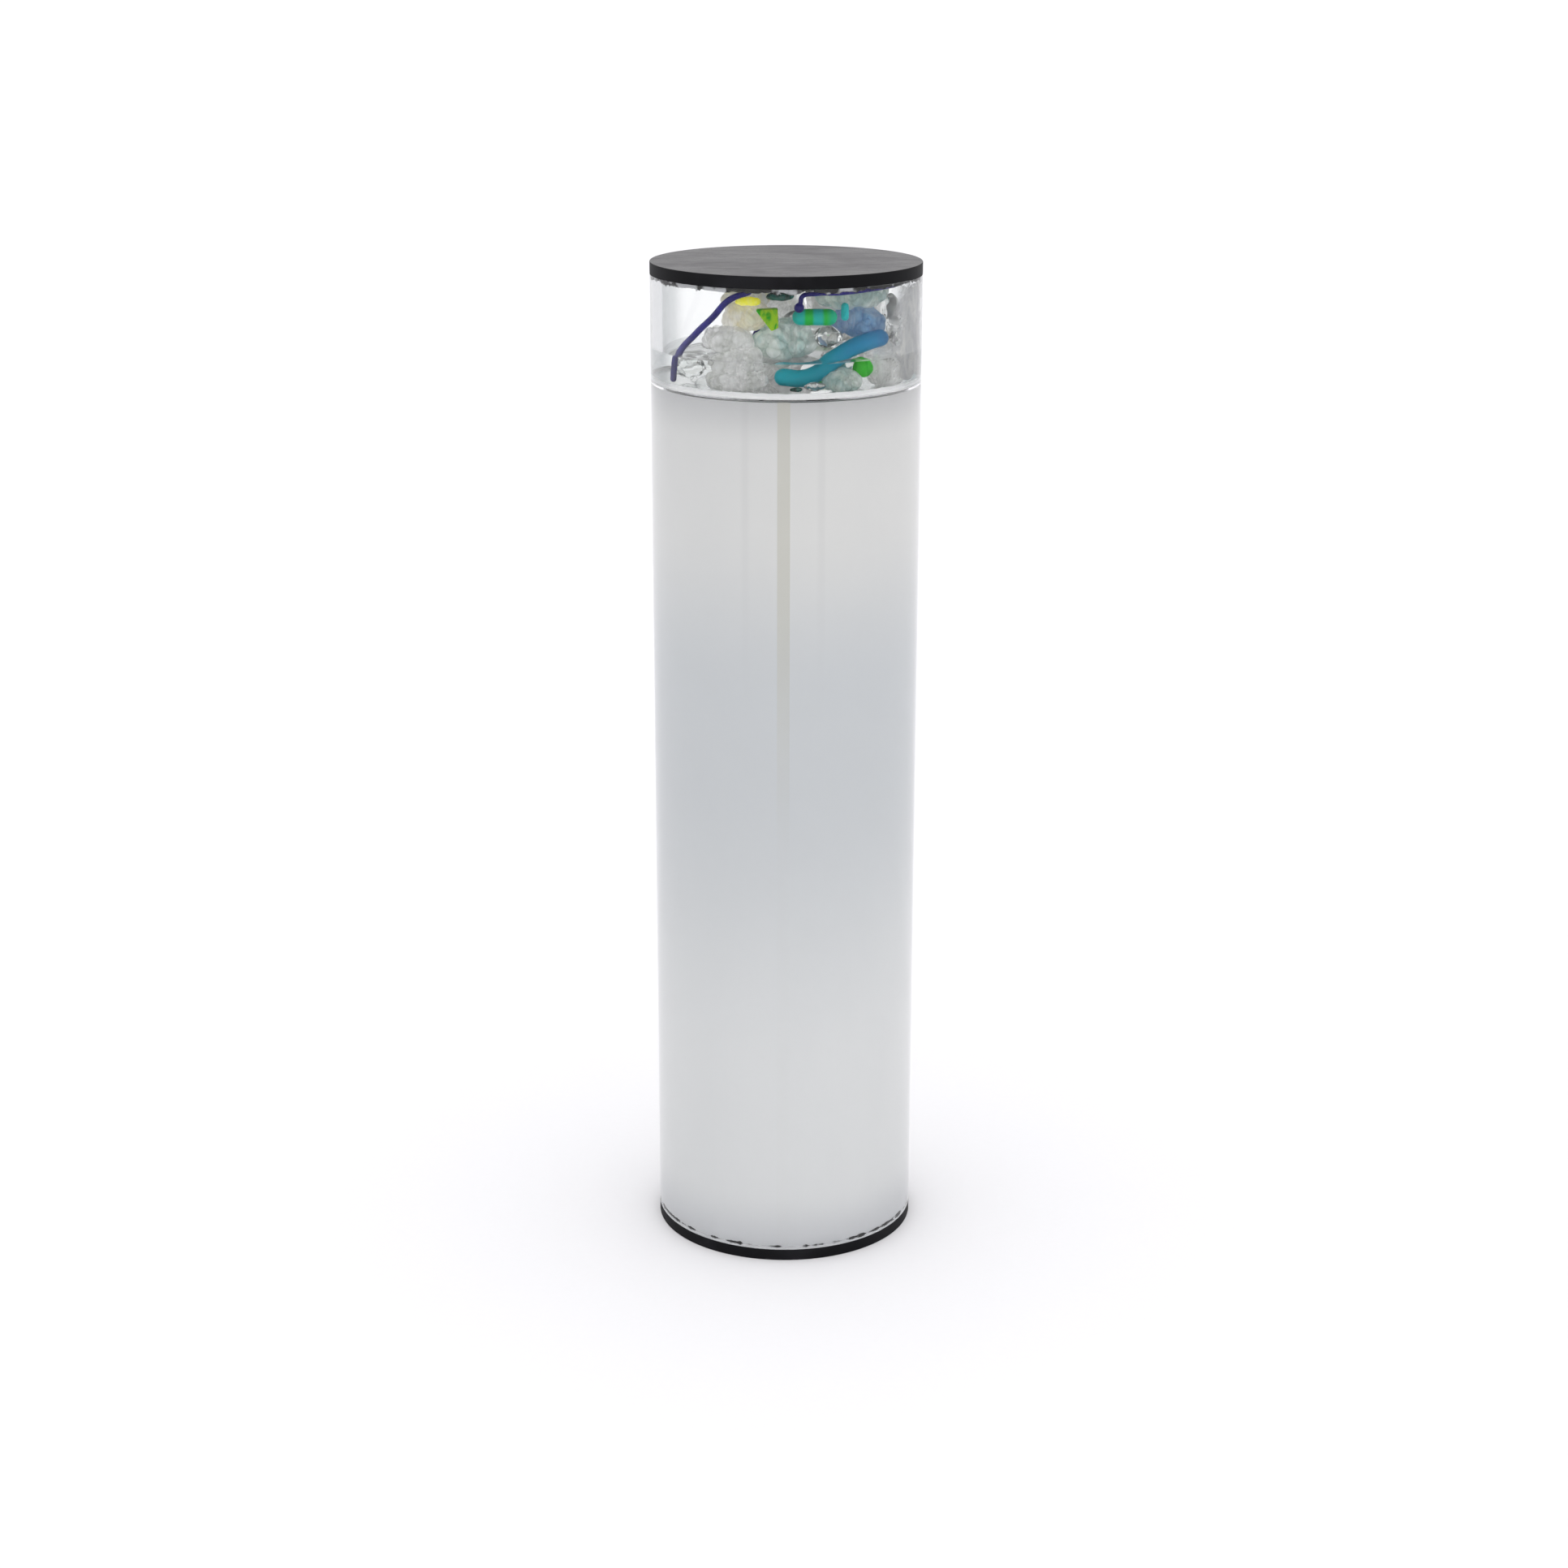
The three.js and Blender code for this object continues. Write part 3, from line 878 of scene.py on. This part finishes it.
def make_joint_trace(name, joint, limit, reach, amount, white_above):
    """A patchy trace at a joint against a black disc: near-black in some places, white in others.

    It is thickest at the joint's height and thins out towards its limit, above or below.
    """
    trace = rolled_film(name, reach, min(joint, limit), max(joint, limit), 0.05 * MM,
                        TRACE_SEAM_DEG, TRACE_GAP_DEG, TRACE_RINGS)
    tree = new_tree(name + "_glue")
    spots = tree.noise(tree.mapped((1, 1, 1.6)), 240, 3, 0.6, 1.0)
    tint = tree.noise(tree.mapped(shift=(0.02, 0, 0)), 170, 3, 0.6)
    spread = tree.fade(tree.axis("Z"), limit, joint, amount - 0.34, amount)
    finish = tree.surface(
        # Near-black where the tint noise is low, white where it is high.
        Base_Color=tree.blend(tree.fade(tint, white_above, white_above + 0.08), grey(0.03),
                              colour(0.80, 0.81, 0.84)),
        Roughness=0.3 + spots * 0.2,
        Alpha=tree.fade(spots + spread, 0.46, 0.56, 0.0, 0.9),
    )
    add_extra(trace, finish, "case")


# Glass ----------------------------------------------------------------------------------------

LONG_ROD = [
    (-17.3, -8.8, 0.9),
    (-17.2, -9.2, 2.6),
    (-16.8, -9.7, 5.0),
    (-14.2, -12.2, 8.6),
    (-11.4, -14.8, 11.7),
    (-8.7, -17.0, 14.8),
    (-5.8, -17.8, 16.1),
]
BALL_END_ROD = [
    (2.2, -17.6, 14.3),
    (2.5, -17.6, 15.4),
    (4.6, -17.5, 15.8),
    (8.3, -16.5, 15.8),
    (13.0, -13.4, 16.0),
    (16.8, -9.0, 16.1),
]
THICK_ROD = [
    (-0.4, -14.6, 2.2),
    (2.2, -15.0, 2.0),
    (4.8, -14.7, 2.8),
    (7.2, -13.8, 4.7),
    (10.2, -12.4, 6.4),
    (12.8, -10.9, 7.3),
    (14.8, -9.4, 7.7),
]
SHORT_ROD = [
    (-7.0, 15.8, 1.0),
    (-5.0, 15.6, 5.4),
    (-2.2, 14.6, 9.6),
    (1.6, 14.2, 12.6),
]


def make_rods():
    """The thin cobalt rods and the thick turquoise one."""
    cobalt = glass_finish("cobalt_glass", colour(0.014, 0.010, 0.17), colour(0.022, 0.016, 0.26),
                          0.0, 0.25, 200, 0.05, sheen=0.3)
    pulled_rod("cobalt_rod_long", cobalt, LONG_ROD, 0.5 * MM, (0.5 * MM, 0.5 * MM))
    pulled_rod("cobalt_rod_ball_end", cobalt, BALL_END_ROD, 0.36 * MM, (0.8 * MM, 0.36 * MM))
    pulled_rod("cobalt_rod_short", cobalt, SHORT_ROD, 0.5 * MM, (0.5 * MM, 0.5 * MM))

    low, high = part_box("turquoise_rod")
    turquoise = turquoise_rod_finish((low.x, low.y, low.z), (high.x, low.y, high.z))
    pulled_rod("turquoise_rod", turquoise, THICK_ROD, 1.4 * MM, (1.4 * MM, 1.4 * MM))


def make_shards():
    """The green wedge, the striped cane and the teal pieces."""
    wedge = cloudy_finish("green_wedge_glass", colour(0.03, 0.36, 0.012), colour(0.36, 0.60, 0.02),
                          520, 0.08)
    chipped("green_wedge", wedge, 0.25 * MM)

    low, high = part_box("striped_cane")
    cane = striped_cane_finish((low.x, 0, low.z), (high.x, 0, low.z))
    melted("striped_cane", cane, 3 * MM, 0.15 * MM, 2)

    teal = cloudy_finish("teal_glass", colour(0.010, 0.34, 0.36), colour(0.03, 0.55, 0.55),
                         420, 0.06)
    melted("teal_bar", teal, 2 * MM, 0.1 * MM, 2)
    melted("turquoise_pebble", teal, 3 * MM, 0.3 * MM)


CROWDED = ("frosted_glass", "sea_grey_glass", "cream_glass", "pale_blue_glass")


def lump_finishes():
    """The finishes of the lumps and chips, by material slot."""
    return {
        "yellow_glass": cloudy_finish("yellow_glass", colour(0.93, 0.88, 0.04),
                                      colour(0.97, 0.95, 0.22), 380, 0.28),
        "dark_teal_glass": glass_finish("dark_teal_glass", colour(0.006, 0.05, 0.035),
                                        colour(0.02, 0.20, 0.16), 0.4, 0.06, 320),
        "pale_blue_glass": cloudy_finish("pale_blue_glass", colour(0.26, 0.48, 0.76),
                                         colour(0.50, 0.66, 0.88), thin=0.7),
        "green_glass": cloudy_finish("green_glass", colour(0.015, 0.42, 0.012),
                                     colour(0.06, 0.58, 0.04), 300, 0.08),
        "cream_glass": cloudy_finish("cream_glass", colour(0.92, 0.87, 0.68),
                                     colour(0.98, 0.96, 0.90), painted_glow=0.1, thin=0.6),
        "frosted_glass": cloudy_finish("frosted_glass", colour(0.84, 0.85, 0.83),
                                       colour(0.99, 0.99, 0.99), painted_glow=0.1, thin=0.35),
        "sea_grey_glass": cloudy_finish("sea_grey_glass", colour(0.56, 0.72, 0.70),
                                        colour(0.86, 0.93, 0.88), painted_glow=0.08, thin=0.45),
        "clear_glass": glass_finish("clear_glass", colour(0.90, 0.92, 0.91),
                                    colour(0.97, 0.98, 0.97), 0.92, 0.04),
    }


def make_lumps():
    """The lumps that turn together are swollen until they crowd one another.

    Those that also slide keep their size, so that they have room to move.
    """
    finishes = lump_finishes()
    for node, slot in SLOT_OF.items():
        if slot not in finishes or node == "green_wedge":
            continue
        low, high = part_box(node)
        size = min(high - low)
        held = BODY_OF[node] == "glass_charge"
        if held and node.startswith("smoky"):
            melted(node, finishes[slot], size * 0.5, size * 0.45, 4, 1.0 * MM)
        elif held and slot in CROWDED:
            melted(node, finishes[slot], size * 0.5, size * 0.5, 4, 0.6 * MM)
        else:
            melted(node, finishes[slot], size * 0.9, size * 0.18)


def make_bubbles():
    """Small bubbles resting in the oil just inside the wall and on the glass, with painted dark
    rims.
    """
    places_mm = (
        (-14.9, -12.6, 4.3, 0.42),
        (-13.4, -13.9, 4.7, 0.26),
        (-11.6, -15.0, 4.5, 0.46),
        (-12.6, -14.8, 3.7, 0.34),
        (-6.6, -18.2, 3.8, 0.24),
        (-14.2, -13.2, 1.6, 0.55),
        (9.6, -17.0, 0.9, 0.62),
        (-16.4, -10.6, 4.6, 0.24),
        (-3.8, -18.9, 3.1, 0.2),
        (13.9, -13.2, 2.8, 0.26),
    )
    bubbles = []
    for x, y, z, radius in places_mm:
        bubble = primitive(bpy.ops.mesh.primitive_ico_sphere_add, "bubble", subdivisions=4,
                           radius=radius * MM, location=(x * MM, y * MM, CELL_FLOOR + z * MM))
        bubbles.append(bubble)
    bpy.ops.object.select_all(action="DESELECT")
    for bubble in bubbles:
        bubble.select_set(True)
    bpy.context.view_layer.objects.active = bubbles[0]
    bpy.ops.object.join()
    piece = bpy.context.object
    piece.name = "oil_bubbles"
    wobble = bpy.data.textures.new("bubble_wobble", "CLOUDS")
    wobble.noise_scale = 0.8 * MM
    modify(piece, "DISPLACE", texture=wobble, texture_coords="LOCAL", mid_level=0.5,
           strength=0.06 * MM)
    smooth(piece, 180)
    tree = new_tree("bubble_skin")
    sheen = tree.noise(tree.place(), 1500, 2, 0.5)
    skin = tree.surface(
        # Painted shade: each bubble's rim, seen edge on, is painted nearly black.
        Base_Color=tree.blend(tree.fade(tree.slant(), 0.35, 0.75), grey(0.96), grey(0.10)),
        Roughness=sheen * 0.02,
        Transmission_Weight=1.0,
        IOR=1.06,
    )
    add_extra(piece, skin, "glass_charge")


# Setting --------------------------------------------------------------------------------------

CAMERA_PLACE = (-0.0002, -0.4748, 0.2249)
CAMERA_PITCH_DEG = 16.98
CAMERA_ROLL_DEG = 0.11
CAMERA_LENS = 65.63

DOME_LIGHT = 1.35
HORIZON_LIGHT = 0.90
FRONT_LIGHT = 1.5
RIGHT_LIFT = 0.05


def make_camera():
    data = bpy.data.cameras.new("camera")
    data.lens = CAMERA_LENS
    data.sensor_width = 36.0
    data.clip_start = 0.01
    data.clip_end = 100.0
    camera = bpy.data.objects.new("camera", data)
    tilt = Matrix.Rotation(math.radians(90 - CAMERA_PITCH_DEG), 4, "X")
    roll = Matrix.Rotation(math.radians(CAMERA_ROLL_DEG), 4, "Z")
    camera.matrix_world = Matrix.Translation(CAMERA_PLACE) @ tilt @ roll
    bpy.context.scene.collection.objects.link(camera)
    bpy.context.scene.camera = camera


def make_floor():
    floor = primitive(bpy.ops.mesh.primitive_plane_add, "pale_floor", size=60.0,
                      location=(0, 0, 0))
    tree = new_tree("pale_paper")
    tooth = tree.noise(tree.place(), 900, 3, 0.6)
    paper = tree.surface(
        Base_Color=tree.blend(tooth, colour(0.785, 0.782, 0.795), colour(0.805, 0.802, 0.815)),
        Roughness=0.7,
        Specular_IOR_Level=0.2,
    )
    floor.data.materials.append(paper)


def make_light():
    """Soft light from all round: a dome overhead, more from in front than from behind."""
    world = bpy.data.worlds.new("soft_studio")
    bpy.context.scene.world = world
    tree = Tree(world)
    direction = tree.node("ShaderNodeTexCoord", output="Generated")
    split = {0: direction}
    sideways = tree.node("ShaderNodeSeparateXYZ", None, split, output="X")
    depth = tree.node("ShaderNodeSeparateXYZ", None, split, output="Y")
    height = tree.node("ShaderNodeSeparateXYZ", None, split, output="Z")
    dome = tree.fade(height, 0.10, 0.55)
    behind = tree.fade(depth, -0.2, 0.8)
    low_light = FRONT_LIGHT - behind * (FRONT_LIGHT - HORIZON_LIGHT) + sideways * RIGHT_LIFT
    strength = low_light + dome * (DOME_LIGHT - low_light)
    background = tree.node("ShaderNodeBackground", None, {
        "Color": colour(0.995, 0.99, 1.0),
        "Strength": strength,
    })
    tree.node("ShaderNodeOutputWorld", None, {"Surface": background})


def make_view():
    scene = bpy.context.scene
    scene.view_settings.view_transform = "Standard"
    scene.cycles.max_bounces = 24
    scene.cycles.transmission_bounces = 24
    scene.cycles.transparent_max_bounces = 16


make_camera()
make_case()
make_lining()
make_glue()
make_inner_parts()
make_oil()
make_smear()
make_joint_trace("cap_glue_trace", END_DISC_LOW - 0.05 * MM, END_DISC_LOW - 1.4 * MM,
                BORE + CONTACT, 0.16, 0.46)
make_joint_trace("foot_glue_trace", EYE_DISC_TOP + GLUE_GAP, EYE_DISC_TOP + 0.8 * MM,
                BORE + 0.1 * MM, 0.02, 0.75)
make_rods()
make_shards()
make_lumps()
make_bubbles()
make_floor()
make_light()
make_view()
